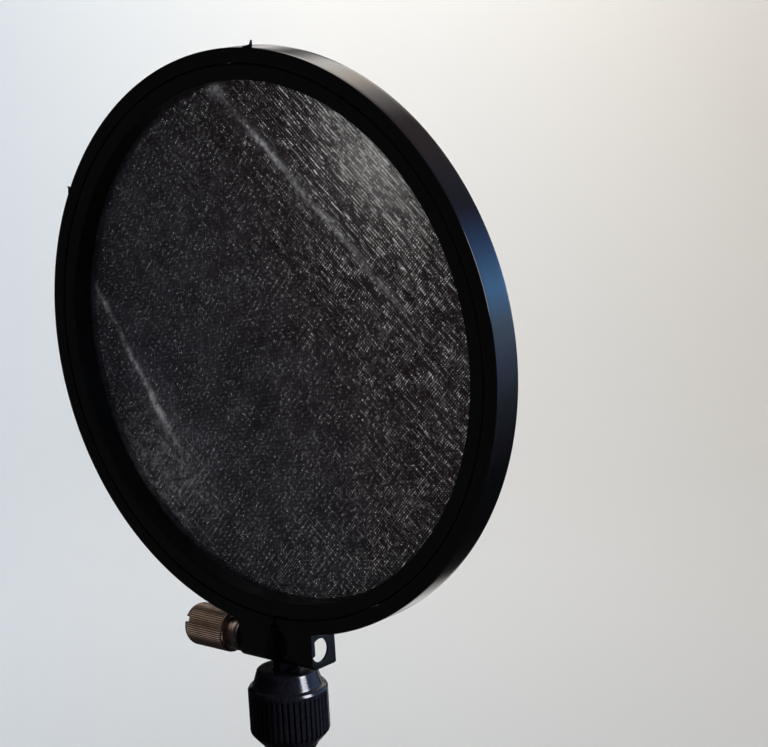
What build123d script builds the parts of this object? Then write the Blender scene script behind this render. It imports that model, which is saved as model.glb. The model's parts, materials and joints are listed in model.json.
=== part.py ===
from build123d import *
import math
import os

# Pop filter: a six-inch double hoop with two mesh layers, a thumb screw that both
# closes the hoop and forms its tilt pivot, a swivel stem held by a ribbed collar,
# a flexible neck and a screw clamp for a stand pole. Millimetres, +Z up, +X to the
# right of a person facing the front mesh, -Y towards that person's mouth.
# The origin is on the pole's axis, at mid-height of the clamp jaw.

# ---------------------------------------------------------------- driving sizes
HOOP_OUT_R = 77.5        # outer hoop, outside radius
HOOP_IN_R = 73.6         # outer hoop, inside radius
HOOP_DEPTH = 9.15        # front to back
HOOP_EDGE = 0.45         # edge radius
INNER_OUT_R = 73.25      # inner hoop
INNER_IN_R = 69.2
INNER_Y0, INNER_Y1 = 0.2, 6.55
MESH_T = 0.3             # each mesh layer
SKIRT_T = 0.2            # mesh edge gripped between the hoops
PIVOT_Y, PIVOT_Z = 3.6, -81.5   # thumb screw axis, measured from the hoop's front centre
LUG_BOTTOM = -86.7
LUG_DEPTH = 10.0
SLOT = 1.4               # half width of the gap between the lugs
TAB_T = 2.5              # stem tab thickness
TAB_R = 5.9
SCREW_R = 5.75           # knurled head
SHANK_R = 1.5
THUMB_PITCH = 0.5
COLLAR_R = 10.85
COLLAR_TOP, COLLAR_BOTTOM = -88.6, -108.6
NECK_R, NECK_BORE = 6.5, 3.2
NECK_TOP = -111.7        # top of the neck, measured from the hoop's centre
BEND_R = 65.0            # quarter bend of the neck at rest
RUN_1, RUN_2 = 4.8, 150.0
NECK_START = -40.2
SECTIONS = 9
SECTION_GAP = 2.2
POLE_R = 10.0
JAW_H = 24.0
LINER_T = 2.0
SPINDLE_R = 4.0
RUNNING = 0.05           # radial running clearance

HEAD_X = NECK_START - RUN_1 - BEND_R          # -110
HEAD_Y = -PIVOT_Y
HEAD_Z = BEND_R + RUN_2 - NECK_TOP            # hoop centre height
HEAD = Location((HEAD_X, HEAD_Y, HEAD_Z))

os.makedirs("parts", exist_ok=True)


# ---------------------------------------------------------------- helpers
def solid_of(shape):
    """One clean solid."""
    found = shape.solids()
    return found[0] if len(found) == 1 else shape


def polygon(points):
    return make_face(Polyline(*[tuple(p) for p in points], close=True))


def about_y(points):
    """Turn a closed (radius, y) outline around the Y axis."""
    return revolve(polygon(points), axis=Axis.Y)


def about_z(points):
    """Turn a closed (radius, z) outline around the Z axis."""
    return revolve(Plane.XZ * polygon(points), axis=Axis.Z)


def about_x(points):
    """Turn a closed (x, radius) outline around the X axis."""
    return revolve(polygon(points), axis=Axis.X)


def rod_x(r, x0, x1, y=0.0, z=0.0):
    return Pos((x0 + x1) / 2, y, z) * Rot(0, 90, 0) * Cylinder(r, abs(x1 - x0))


def rod_z(r, z0, z1, x=0.0, y=0.0):
    return Pos(x, y, (z0 + z1) / 2) * Cylinder(r, abs(z1 - z0))


def block(x0, x1, y0, y1, z0, z1):
    return Pos((x0 + x1) / 2, (y0 + y1) / 2, (z0 + z1) / 2) * Box(x1 - x0, y1 - y0, z1 - z0)


def hex_x(flats, x0, x1, y=0.0, z=0.0, turn=0.0):
    """Hexagonal prism along X; turn 0 puts two flats square to Y."""
    face = Plane.YZ * (Rot(0, 0, turn) * RegularPolygon(flats / 2, 6, major_radius=False))
    return Pos(x0, y, z) * extrude(face, amount=x1 - x0, dir=(1, 0, 0))


def toothed(n, r_low, r_high, land=0.45):
    """Closed outline of n small flat-topped teeth, as a face in the XY plane."""
    pts = []
    step = 2 * math.pi / n
    for i in range(n):
        a = i * step
        for r, t in ((r_high, -land / 2), (r_high, land / 2), (r_low, 0.5 - 0.13), (r_low, 0.5 + 0.13)):
            pts.append((r * math.cos(a + t * step), r * math.sin(a + t * step)))
    return polygon(pts)


def round_profile(x0, x1, y0, y1, r):
    return Pos((x0 + x1) / 2, (y0 + y1) / 2) * RectangleRounded(x1 - x0, y1 - y0, r)


def keep(name, shape, place=None):
    if place is not None:
        shape = place * shape
    shape.label = name
    export_step(shape, "parts/" + name + ".step")


# ---------------------------------------------------------------- hoop head
# Measured from the centre of the hoop's front face.
ring = revolve(round_profile(HOOP_IN_R, HOOP_OUT_R, 0, HOOP_DEPTH, HOOP_EDGE), axis=Axis.Y)


def lug(x0, x1):
    """Ear under the hoop, run along X: well rounded at the front, nearly square at the back,
    where it meets the collar and stops the backward tilt."""
    outline = make_face(
        Polyline((0.0, LUG_BOTTOM), (0.0, -74.8), (LUG_DEPTH - 0.15, -74.8), (LUG_DEPTH, LUG_BOTTOM), close=True))
    outline = fillet(outline.vertices().sort_by_distance((0, LUG_BOTTOM, 0))[0], 2.2)
    outline = fillet(outline.vertices().sort_by_distance((LUG_DEPTH, LUG_BOTTOM, 0))[0], 0.5)
    return Pos(x0, 0, 0) * extrude(Plane.YZ * outline, amount=x1 - x0, dir=(1, 0, 0))


left_lug = lug(-13.6, -SLOT)
corner = block(-14.0, -12.1, -1, 11, LUG_BOTTOM - 1, LUG_BOTTOM + 1.5) - (
    Pos(-12.1, 5, LUG_BOTTOM + 1.5) * Rot(90, 0, 0) * Cylinder(1.5, 14))
left_lug = left_lug - corner
right_lug = lug(SLOT, 12.5)
slot_wide = block(-SLOT, SLOT, -1, 12, -90, PIVOT_Z + TAB_R + 0.1)
slot_thin = block(-0.4, 0.4, -1, 12, -80, -72)
screw_hole = rod_x(SHANK_R + 0.12, -15, 5, PIVOT_Y, PIVOT_Z)
nut_seat = hex_x(5.5 + 0.1, 2.3, 5.0, PIVOT_Y, PIVOT_Z)
pocket = block(4.9, 11.9, 0.85, 12, LUG_BOTTOM - 1.0, -77.7)   # open behind and below
access = rod_x(3.25, 11.0, 13.0, PIVOT_Y, PIVOT_Z)
hoop = ring + left_lug + right_lug
hoop = hoop - slot_wide - slot_thin - screw_hole - nut_seat - pocket - access
# small pointed moulding gates left on the rim
for degrees, y, tall in ((3.1, 0.9, 1.9), (-60.0, 0.9, 0.8)):
    pip = Pos(0, y, HOOP_OUT_R + tall / 2 - 0.15) * Cone(0.75, 0.18, tall + 0.3)
    hoop = hoop + Rot(0, degrees, 0) * pip
keep("outer_hoop", solid_of(hoop), HEAD)

inner = revolve(round_profile(INNER_IN_R, INNER_OUT_R, INNER_Y0, INNER_Y1, 0.4), axis=Axis.Y)
keep("inner_hoop", solid_of(inner), HEAD)

# Front mesh: a disc drawn over the back of the inner hoop, its edge turned forward
# and gripped between the two hoops.
y = INNER_Y1 + 0.02
front = about_y([(0, y), (INNER_OUT_R + 0.02, y), (INNER_OUT_R + 0.02, 0.6), (INNER_OUT_R + 0.02 + SKIRT_T, 0.6),
                 (INNER_OUT_R + 0.02 + SKIRT_T, y + MESH_T), (0, y + MESH_T)])
keep("front_mesh", solid_of(front), HEAD)
y = y + MESH_T + 0.02
spacer = about_y([(69.3, y), (73.3, y), (73.3, y + 1.3), (69.3, y + 1.3)])
keep("spacer_ring", solid_of(spacer), HEAD)
y = y + 1.3 + 0.02
rear = about_y([(0, y), (73.3, y), (73.3, y + MESH_T), (0, y + MESH_T)])
keep("rear_mesh", solid_of(rear), HEAD)
y = y + MESH_T + 0.02
retainer = about_y([(69.6, y), (73.4, y), (73.4, HOOP_DEPTH - 0.1), (73.0, HOOP_DEPTH - 0.02), (70.0, HOOP_DEPTH - 0.02),
                    (69.6, HOOP_DEPTH - 0.1)])
keep("rear_retainer", solid_of(retainer), HEAD)

nut = hex_x(5.5, 2.35, 4.75, PIVOT_Y, PIVOT_Z) & Pos(0, PIVOT_Y, PIVOT_Z) * about_x(
    [(2.35, 0), (2.35, 2.75), (2.6, 3.2), (4.5, 3.2), (4.75, 2.75), (4.75, 0)])
nut = nut - rod_x(SHANK_R + RUNNING, 2, 5, PIVOT_Y, PIVOT_Z)
keep("hex_nut", solid_of(nut), HEAD)

# ---------------------------------------------------------------- thumb screw
knurl = extrude(Plane.YZ * toothed(60, SCREW_R - 0.22, SCREW_R), amount=13.4, dir=(1, 0, 0))
knurl = Pos(-31.5, 0, 0) * knurl
dome = about_x([(-33.2, 0), (-33.2, 3.8), (-32.8, 4.7), (-32.2, 5.3), (-31.5, SCREW_R - 0.24), (-31.5, 0)])
body = about_x([(-18.2, 0), (-18.2, 4.2), (-16.0, 4.2), (-16.0, 4.75), (-15.8, 4.95), (-14.45, 4.95), (-14.25, 4.75), (-14.25, SHANK_R),
                (7.1, SHANK_R), (7.5, SHANK_R - 0.35), (7.5, 0)])
bevel = about_x([(-18.9, SCREW_R + 0.1), (-18.0, SCREW_R - 0.5), (-18.0, SCREW_R + 0.6), (-18.9, SCREW_R + 0.6)])
screw = knurl + dome + body - bevel
slot_cut = Rot(-28.5, 0, 0) * block(-34, -30.8, -7, 7, -0.75, 0.75)
screw = screw - slot_cut
keep("thumb_screw", solid_of(screw), HEAD * Pos(0, PIVOT_Y, PIVOT_Z))

washer = about_x([(-14.2, SHANK_R + 0.1), (-14.2, 4.7), (-13.65, 4.7), (-13.65, SHANK_R + 0.1)])
keep("screw_washer", solid_of(washer), HEAD * Pos(0, PIVOT_Y, PIVOT_Z))

# ---------------------------------------------------------------- swivel stem and collar
NECK = HEAD * Pos(0, PIVOT_Y, 0)     # vertical axis through the pivot
tab = rod_x(TAB_R, -TAB_T / 2, TAB_T / 2, 0, PIVOT_Z) + block(-TAB_T / 2, TAB_T / 2, -3.75, 3.75, -90.5, PIVOT_Z)
stem = tab + about_z([(0, -88.4), (4.0, -88.4), (4.0, -91.8), (6.7, -91.8), (6.7, -94.0), (3.0, -94.0), (3.0, -103.6),
                      (2.6, -104.0), (0, -104.0)])
stem = stem - rod_x(SHANK_R + RUNNING, -3, 3, 0, PIVOT_Z)
keep("swivel_stem", solid_of(stem), NECK)

fibre = about_z([(3.1, -94.05), (6.6, -94.05), (6.6, -94.85), (3.1, -94.85)])
keep("friction_washer", solid_of(fibre), NECK)

shell = about_z([(4.0 + RUNNING, COLLAR_TOP), (7.6, COLLAR_TOP), (8.0, COLLAR_TOP - 0.3), (8.2, COLLAR_TOP - 0.8),
                 (9.4, -93.0), (9.9, -93.25), (10.5, -93.6), (COLLAR_R, -94.2), (COLLAR_R, -95.0), (10.4, -95.3), (10.4, -106.0), (10.45, -106.2),
                 (10.1, -107.1), (9.4, -108.0), (8.6, COLLAR_BOTTOM), (7.0, COLLAR_BOTTOM), (7.0, -91.5), (4.0 + RUNNING, -91.5)])
ribs = Pos(0, 0, -106.2) * extrude(toothed(44, 10.38, COLLAR_R, 0.42), amount=11.2)
ribs = ribs - rod_z(9.0, -110, -90)
ribs = ribs - about_z([(10.9, -106.3), (10.9, -105.5), (10.3, -106.3)])
collar = shell + ribs
keep("lock_collar", solid_of(collar), NECK)

ferrule = about_z([(0, -94.9), (7.0 - RUNNING - 0.4, -94.9), (7.0 - RUNNING, -95.3), (7.0 - RUNNING, -108.7), (7.9, -108.7),
                   (7.6, -109.8), (6.9, -111.0), (6.6, -111.6), (3.1, -111.6), (3.1, -119.4), (2.7, -119.8), (0, -119.8)])
ferrule = ferrule - rod_z(3.0 + RUNNING, -105.0, -94.0)
keep("upper_ferrule", solid_of(ferrule), NECK)

# ---------------------------------------------------------------- flexible neck
ARC = BEND_R * math.pi / 2
LENGTH = RUN_1 + ARC + RUN_2
neck_face = Circle(NECK_R) - Circle(NECK_BORE)


def neck_piece(s0, s1):
    """Neck tube between two distances along its centre line."""
    out = None
    a, b = max(s0, 0.0), min(s1, RUN_1)
    if b > a + 1e-6:
        piece = rod_x(NECK_R, NECK_START - b, NECK_START - a) - rod_x(NECK_BORE, NECK_START - b - 1, NECK_START - a + 1)
        out = piece
    a, b = max(s0, RUN_1), min(s1, RUN_1 + ARC)
    if b > a + 1e-6:
        p0 = math.degrees((a - RUN_1) / BEND_R)
        p1 = math.degrees((b - RUN_1) / BEND_R)
        # ring face at the start angle, turned about the bend's centre line
        axis_x, axis_z = NECK_START - RUN_1, BEND_R
        face = Plane(origin=(axis_x - BEND_R * math.sin(math.radians(p0)), 0, axis_z - BEND_R * math.cos(math.radians(p0))),
                     x_dir=(0, 1, 0),
                     z_dir=(-math.cos(math.radians(p0)), 0, math.sin(math.radians(p0)))) * neck_face
        piece = revolve(face, axis=Axis((axis_x, 0, axis_z), (0, 1, 0)), revolution_arc=p1 - p0)
        out = piece if out is None else out + piece
    a, b = max(s0, RUN_1 + ARC), min(s1, LENGTH)
    if b > a + 1e-6:
        z0 = BEND_R + a - RUN_1 - ARC
        z1 = BEND_R + b - RUN_1 - ARC
        piece = rod_z(NECK_R, z0, z1, HEAD_X) - rod_z(NECK_BORE, z0 - 1, z1 + 1, HEAD_X)
        out = piece if out is None else out + piece
    return out


STEP_S = LENGTH / SECTIONS
for i in range(SECTIONS):
    s0 = i * STEP_S + (SECTION_GAP / 2 if i else 0.0)
    s1 = (i + 1) * STEP_S - (SECTION_GAP / 2 if i < SECTIONS - 1 else 0.0)
    keep("neck_section_%d" % (i + 1), solid_of(neck_piece(s0, s1)))

lower = about_x([(-15.2, 0), (-15.2, 3.7), (-15.6, SPINDLE_R), (-28.6, SPINDLE_R), (-28.6, 7.6), (-29.0, 8.0), (-35.6, 8.0),
                 (-36.4, 7.8), (-39.4, 6.9), (-40.1, 6.6), (-40.1, 3.1), (-44.4, 3.1), (-44.8, 2.7), (-44.8, 0)])
keep("lower_ferrule", solid_of(lower))
lock = hex_x(13.0, -28.5, -24.05) & about_x([(-28.5, 0), (-28.5, 6.6), (-27.9, 7.55), (-24.55, 7.55), (-24.05, 6.7), (-24.05, 0)])
lock = lock - rod_x(SPINDLE_R + RUNNING, -29, -23)
keep("lock_nut", solid_of(lock))

# ---------------------------------------------------------------- clamp
SEAT_R = POLE_R + LINER_T
jaw = round_profile(-24, -3.8, -14, 22, 3.0)
spine = round_profile(-24, 46, 15.5, 22, 3.0)
boss = round_profile(33, 46, -11, 22, 3.0)
plate = jaw + spine + boss - Circle(SEAT_R)
frame_solid = extrude(plate, amount=JAW_H / 2, both=True)
frame_solid = solid_of(frame_solid)
rims = frame_solid.edges().filter_by_position(Axis.Z, JAW_H / 2 - 0.01, JAW_H / 2 + 0.01) + \
    frame_solid.edges().filter_by_position(Axis.Z, -JAW_H / 2 - 0.01, -JAW_H / 2 + 0.01)
frame_solid = chamfer(rims, 0.9)
frame_solid = frame_solid - rod_x(SPINDLE_R + RUNNING, 30, 50) - rod_x(SPINDLE_R + RUNNING, -26, -15)
keep("clamp_body", solid_of(frame_solid))

liner = (Circle(SEAT_R - 0.02) - Circle(POLE_R)) & (Pos(-9.2, 0) * Rectangle(10.0, 30))
keep("clamp_liner", solid_of(extrude(liner, amount=JAW_H / 2 - 1.0, both=True)))

# pressure pad: rubber face, cup and retaining plate around the spindle's tip flange
PAD_X = 11.0
rubber = about_x([(PAD_X, 0), (PAD_X, 8.2), (PAD_X + 0.6, 8.8), (PAD_X + 2.0, 8.8), (PAD_X + 2.0, 0)])
keep("pad_rubber", solid_of(rubber))
cup = about_x([(PAD_X + 2.02, 0), (PAD_X + 2.02, 9.0), (PAD_X + 6.0, 9.0), (PAD_X + 6.0, 4.2), (PAD_X + 3.2, 4.2), (PAD_X + 3.2, 0)])
keep("pressure_pad", solid_of(cup))
plate_r = about_x([(PAD_X + 6.02, 2.9), (PAD_X + 6.02, 9.0), (PAD_X + 6.8, 9.0), (PAD_X + 7.2, 8.6), (PAD_X + 7.2, 2.9)])
keep("pad_retainer", solid_of(plate_r))

spindle = about_x([(PAD_X + 3.3, 0), (PAD_X + 3.3, 3.7), (PAD_X + 3.6, 4.0), (PAD_X + 5.9, 4.0), (PAD_X + 5.9, 2.8), (PAD_X + 8.0, 2.8),
                   (PAD_X + 9.0, SPINDLE_R), (66.0, SPINDLE_R), (66.0, 0)])
keep("clamp_spindle", solid_of(spindle))
pts = []
for i in range(120):
    a = 2 * math.pi * i / 120
    r = 15.2 + 1.6 * math.cos(6 * a)
    pts.append((r * math.cos(a), r * math.sin(a)))
knob = Pos(57.5, 0, 0) * extrude(Plane.YZ * polygon(pts), amount=12.0, dir=(1, 0, 0))
knob = knob + about_x([(53.2, 0), (53.2, 7.4), (53.8, 8.0), (58.0, 8.8), (58.0, 0)])
knob = knob + about_x([(69.0, 0), (69.0, 12.0), (70.6, 10.8), (71.0, 9.5), (71.0, 0)])
knob = knob - rod_x(SPINDLE_R + 0.02, 50, 66.05)
keep("clamp_knob", solid_of(knob))
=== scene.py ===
import bpy, bmesh, json, math
import numpy as np
from mathutils import Vector, Matrix

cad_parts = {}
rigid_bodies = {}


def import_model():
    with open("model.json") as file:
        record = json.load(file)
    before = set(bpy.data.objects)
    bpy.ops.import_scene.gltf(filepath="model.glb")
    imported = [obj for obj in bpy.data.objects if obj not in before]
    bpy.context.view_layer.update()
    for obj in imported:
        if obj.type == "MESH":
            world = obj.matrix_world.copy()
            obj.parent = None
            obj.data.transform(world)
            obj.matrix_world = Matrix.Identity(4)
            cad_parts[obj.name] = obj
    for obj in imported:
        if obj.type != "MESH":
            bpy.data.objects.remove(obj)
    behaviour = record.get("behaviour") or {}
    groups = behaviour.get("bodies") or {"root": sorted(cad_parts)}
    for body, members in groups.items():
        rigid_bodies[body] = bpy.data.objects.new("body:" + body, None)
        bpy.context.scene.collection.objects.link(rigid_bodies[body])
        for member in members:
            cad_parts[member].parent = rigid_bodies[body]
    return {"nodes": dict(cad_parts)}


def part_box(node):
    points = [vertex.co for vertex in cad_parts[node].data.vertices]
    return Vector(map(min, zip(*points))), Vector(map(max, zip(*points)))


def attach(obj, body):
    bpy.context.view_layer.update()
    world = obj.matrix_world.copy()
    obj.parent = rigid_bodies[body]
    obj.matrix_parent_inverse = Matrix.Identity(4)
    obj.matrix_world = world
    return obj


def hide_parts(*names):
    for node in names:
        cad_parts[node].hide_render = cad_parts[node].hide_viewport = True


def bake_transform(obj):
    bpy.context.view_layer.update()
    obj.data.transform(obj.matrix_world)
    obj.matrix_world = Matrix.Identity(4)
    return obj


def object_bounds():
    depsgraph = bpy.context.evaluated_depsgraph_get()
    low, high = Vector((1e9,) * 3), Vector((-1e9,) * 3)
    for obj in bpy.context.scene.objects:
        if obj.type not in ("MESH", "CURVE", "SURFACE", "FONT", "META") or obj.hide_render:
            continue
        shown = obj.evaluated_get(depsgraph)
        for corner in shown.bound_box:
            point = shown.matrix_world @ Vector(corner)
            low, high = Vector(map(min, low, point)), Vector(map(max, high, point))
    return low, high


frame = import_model()
cad_low, cad_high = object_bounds()
NODES = frame["nodes"]
MM = 0.001

# ------------------------------------------------------------------ where things are
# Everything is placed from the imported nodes' boxes, so the looks follow the frame.
lo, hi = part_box("inner_hoop")
HX = (lo.x + hi.x) / 2 / MM
HZ = (lo.z + hi.z) / 2 / MM
ring_lo, ring_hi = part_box("rear_retainer")
HY = lo.y / MM - 0.2                    # the hoop's front face
st_lo, st_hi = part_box("swivel_stem")
PZ = st_hi.z / MM - 5.9 - HZ            # thumb screw axis, from the hoop's centre
PY = -HY                                # and behind its front face
cl_lo, cl_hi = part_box("clamp_spindle")
NECK_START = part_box("neck_section_1")[1].x / MM
NECK_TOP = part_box("neck_section_9")[1].z / MM
BEND_R, RUN_1 = 65.0, 4.8
ARC = BEND_R * math.pi / 2
LENGTH = RUN_1 + ARC + (NECK_TOP - BEND_R)
SECTIONS = 9


# ------------------------------------------------------------------ mesh helpers (mm in, metres out)
def link(name, verts, faces, origin=(0, 0, 0), sharp=35.0, fix=True):
    me = bpy.data.meshes.new(name)
    v = (np.asarray(verts, float) + np.asarray(origin, float)) * MM
    me.from_pydata([tuple(p) for p in v], [], faces)
    me.validate()
    if fix:
        bm = bmesh.new()
        bm.from_mesh(me)
        bmesh.ops.remove_doubles(bm, verts=bm.verts, dist=1e-7)
        bmesh.ops.recalc_face_normals(bm, faces=bm.faces)
        bm.to_mesh(me)
        bm.free()
    me.polygons.foreach_set("use_smooth", [True] * len(me.polygons))
    if sharp:
        me.set_sharp_from_angle(angle=math.radians(sharp))
    ob = bpy.data.objects.new(name, me)
    bpy.context.scene.collection.objects.link(ob)
    return ob


def rounded(points, radii, steps=5):
    """Closed outline with each corner rounded by its own radius."""
    out = []
    n = len(points)
    for i, (p, r) in enumerate(zip(points, radii)):
        a, b, c = (np.array(points[i - 1], float), np.array(p, float), np.array(points[(i + 1) % n], float))
        if r <= 0:
            out.append(tuple(b))
            continue
        u, w = (a - b) / np.linalg.norm(a - b), (c - b) / np.linalg.norm(c - b)
        half = math.acos(max(-1, min(1, float(u @ w)))) / 2
        if half > math.pi / 2 - 0.02:
            out.append(tuple(b))
            continue
        t = r / math.tan(half)
        centre = b + (u + w) / np.linalg.norm(u + w) * (r / math.sin(half))
        s, e = b + u * t - centre, b + w * t - centre
        turn = math.atan2(s[0] * e[1] - s[1] * e[0], float(s @ e))
        for k in range(steps + 1):
            q = turn * k / steps
            out.append((centre[0] + s[0] * math.cos(q) - s[1] * math.sin(q), centre[1] + s[0] * math.sin(q) + s[1] * math.cos(q)))
    return out


def fine(points, step, closed=True):
    """The same outline with long sides divided."""
    out = []
    n = len(points)
    for i in range(n if closed else n - 1):
        a, b = np.array(points[i], float), np.array(points[(i + 1) % n], float)
        k = max(1, int(math.ceil(np.linalg.norm(b - a) / step)))
        for j in range(k):
            out.append(tuple(a + (b - a) * j / k))
    if not closed:
        out.append(tuple(points[-1]))
    return out


def turned(name, outline, axis, segs, origin=(0, 0, 0), closed=True, wave=None, sharp=35.0):
    """Surface of revolution; outline is (radius, along). wave(r, along, angle) may change the radius.
    A closed outline makes a ring; an open one starts and ends on the axis."""
    t = np.linspace(0, 2 * math.pi, segs, endpoint=False)
    verts, faces = [], []
    pts = list(outline)
    start = end = None
    if not closed:
        start, end = pts[0], pts[-1]
        pts = pts[1:-1]
    n = len(pts)
    c, s = np.cos(t), np.sin(t)
    for (r, a) in pts:
        rr = np.full(segs, r) if wave is None else wave(r, a, t)
        aa = np.full(segs, a)
        if axis == "Y":
            verts.append(np.stack([rr * c, aa, rr * s], 1))
        elif axis == "Z":
            verts.append(np.stack([rr * c, rr * s, aa], 1))
        else:
            verts.append(np.stack([aa, rr * c, rr * s], 1))
    verts = np.concatenate(verts)
    for j in range(n if closed else n - 1):
        j2 = (j + 1) % n
        for i in range(segs):
            i2 = (i + 1) % segs
            faces.append((j * segs + i, j * segs + i2, j2 * segs + i2, j2 * segs + i))
    if not closed:
        extra = []
        for (r, a), row in ((start, 0), (end, n - 1)):
            k = len(verts) + len(extra)
            extra.append({"Y": (0, a, 0), "Z": (0, 0, a), "X": (a, 0, 0)}[axis])
            for i in range(segs):
                i2 = (i + 1) % segs
                faces.append((row * segs + i, row * segs + i2, k))
        verts = np.concatenate([verts, np.array(extra, float)])
    return link(name, verts, faces, origin, sharp)


def prism(name, outline, axis, a0, a1, origin=(0, 0, 0), bevel=0.0, segments=3):
    """Straight extrusion of a closed outline with rounded rims."""
    n = len(outline)
    verts = []
    for a in (a0, a1):
        for (p, q) in outline:
            verts.append({"X": (a, p, q), "Y": (p, a, q), "Z": (p, q, a)}[axis])
    faces = [tuple(range(n)), tuple(range(n, 2 * n))]
    for i in range(n):
        faces.append((i, (i + 1) % n, n + (i + 1) % n, n + i))
    ob = link(name, verts, faces, origin)
    if bevel:
        bm = bmesh.new()
        bm.from_mesh(ob.data)
        edges = [e for e in bm.edges if len(e.link_faces) == 2 and e.calc_face_angle(0) > math.radians(50)]
        bmesh.ops.bevel(bm, geom=edges, offset=bevel * MM, segments=segments, profile=0.5, affect="EDGES", clamp_overlap=True)
        bm.to_mesh(ob.data)
        bm.free()
        ob.data.polygons.foreach_set("use_smooth", [True] * len(ob.data.polygons))
        ob.data.set_sharp_from_angle(angle=math.radians(35))
    return ob


def boolean(ob, others, how):
    for o in others:
        m = ob.modifiers.new("b", "BOOLEAN")
        m.operation, m.object, m.solver = how, o, "EXACT"
        dg = bpy.context.evaluated_depsgraph_get()
        me = bpy.data.meshes.new_from_object(ob.evaluated_get(dg), depsgraph=dg)
        ob.modifiers.clear()
        old = ob.data
        ob.data = me
        bpy.data.meshes.remove(old)
        bpy.data.objects.remove(o)
    ob.data.polygons.foreach_set("use_smooth", [True] * len(ob.data.polygons))
    ob.data.set_sharp_from_angle(angle=math.radians(35))
    return ob


def put(ob, body, material, slot, *stands_for):
    ob.data.materials.clear()
    ob.data.materials.append(material)
    if body:
        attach(ob, body)
    if stands_for:
        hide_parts(*stands_for)
    return ob


# ------------------------------------------------------------------ material helpers
class Tree:
    def __init__(self, name):
        self.mat = bpy.data.materials.new(name)
        self.mat.use_nodes = True
        self.t = self.mat.node_tree
        self.bsdf = self.t.nodes["Principled BSDF"]

    def node(self, kind, **props):
        n = self.t.nodes.new(kind)
        for k, v in props.items():
            setattr(n, k, v)
        return n

    def set(self, socket, value):
        if hasattr(value, "is_output"):
            self.t.links.new(value, socket)
        else:
            socket.default_value = value

    def out(self, name, value):
        self.set(self.bsdf.inputs[name], value)

    def math(self, op, a, b=None, c=None, clamp=False):
        n = self.node("ShaderNodeMath", operation=op, use_clamp=clamp)
        self.set(n.inputs[0], a)
        if b is not None:
            self.set(n.inputs[1], b)
        if c is not None:
            self.set(n.inputs[2], c)
        return n.outputs[0]

    def place(self, origin=(0, 0, 0)):
        """Object position from a point, in millimetres."""
        c = self.node("ShaderNodeTexCoord").outputs["Object"]
        m = self.node("ShaderNodeVectorMath", operation="MULTIPLY_ADD")
        self.set(m.inputs[0], c)
        m.inputs[1].default_value = (1000, 1000, 1000)
        m.inputs[2].default_value = tuple(-x for x in origin)
        return m.outputs[0]

    def split(self, v):
        n = self.node("ShaderNodeSeparateXYZ")
        self.set(n.inputs[0], v)
        return n.outputs[0], n.outputs[1], n.outputs[2]

    def join(self, x, y, z):
        n = self.node("ShaderNodeCombineXYZ")
        for i, v in enumerate((x, y, z)):
            self.set(n.inputs[i], v)
        return n.outputs[0]

    def noise(self, vector, scale, detail=3.0, rough=0.5, distortion=0.0):
        n = self.node("ShaderNodeTexNoise")
        self.set(n.inputs["Vector"], vector)
        n.inputs["Scale"].default_value = scale
        n.inputs["Detail"].default_value = detail
        n.inputs["Roughness"].default_value = rough
        n.inputs["Distortion"].default_value = distortion
        return n.outputs["Fac"]

    def ramp(self, value, stops, kind="LINEAR"):
        n = self.node("ShaderNodeValToRGB")
        self.set(n.inputs[0], value)
        r = n.color_ramp
        r.interpolation = kind
        while len(r.elements) < len(stops):
            r.elements.new(0.5)
        for e, (p, c) in zip(r.elements, stops):
            e.position = p
            e.color = (*c, 1) if isinstance(c, tuple) else (c, c, c, 1)
        return n.outputs[0]

    def mix(self, fac, a, b, kind="MIX"):
        n = self.node("ShaderNodeMix", data_type="RGBA", blend_type=kind)
        self.set(n.inputs[0], fac)
        self.set(n.inputs[6], (*a, 1) if isinstance(a, tuple) else a)
        self.set(n.inputs[7], (*b, 1) if isinstance(b, tuple) else b)
        return n.outputs[2]

    def range(self, value, a, b, c, d, clamp=True):
        n = self.node("ShaderNodeMapRange", clamp=clamp)
        self.set(n.inputs[0], value)
        for i, v in enumerate((a, b, c, d)):
            n.inputs[i + 1].default_value = v
        return n.outputs[0]

    def bump(self, height, strength, distance, normal=None):
        n = self.node("ShaderNodeBump")
        n.inputs["Strength"].default_value = strength
        n.inputs["Distance"].default_value = distance
        self.set(n.inputs["Height"], height)
        if normal is not None:
            self.set(n.inputs["Normal"], normal)
        return n.outputs[0]

    def around(self, p, axis):
        """(angle, radius, along) about an axis through the origin of p."""
        x, y, z = self.split(p)
        a, b, c = {"X": (y, z, x), "Y": (x, z, y), "Z": (x, y, z)}[axis]
        angle = self.math("ARCTAN2", b, a)
        radius = self.math("SQRT", self.math("ADD", self.math("MULTIPLY", a, a), self.math("MULTIPLY", b, b)))
        return angle, radius, c


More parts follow.
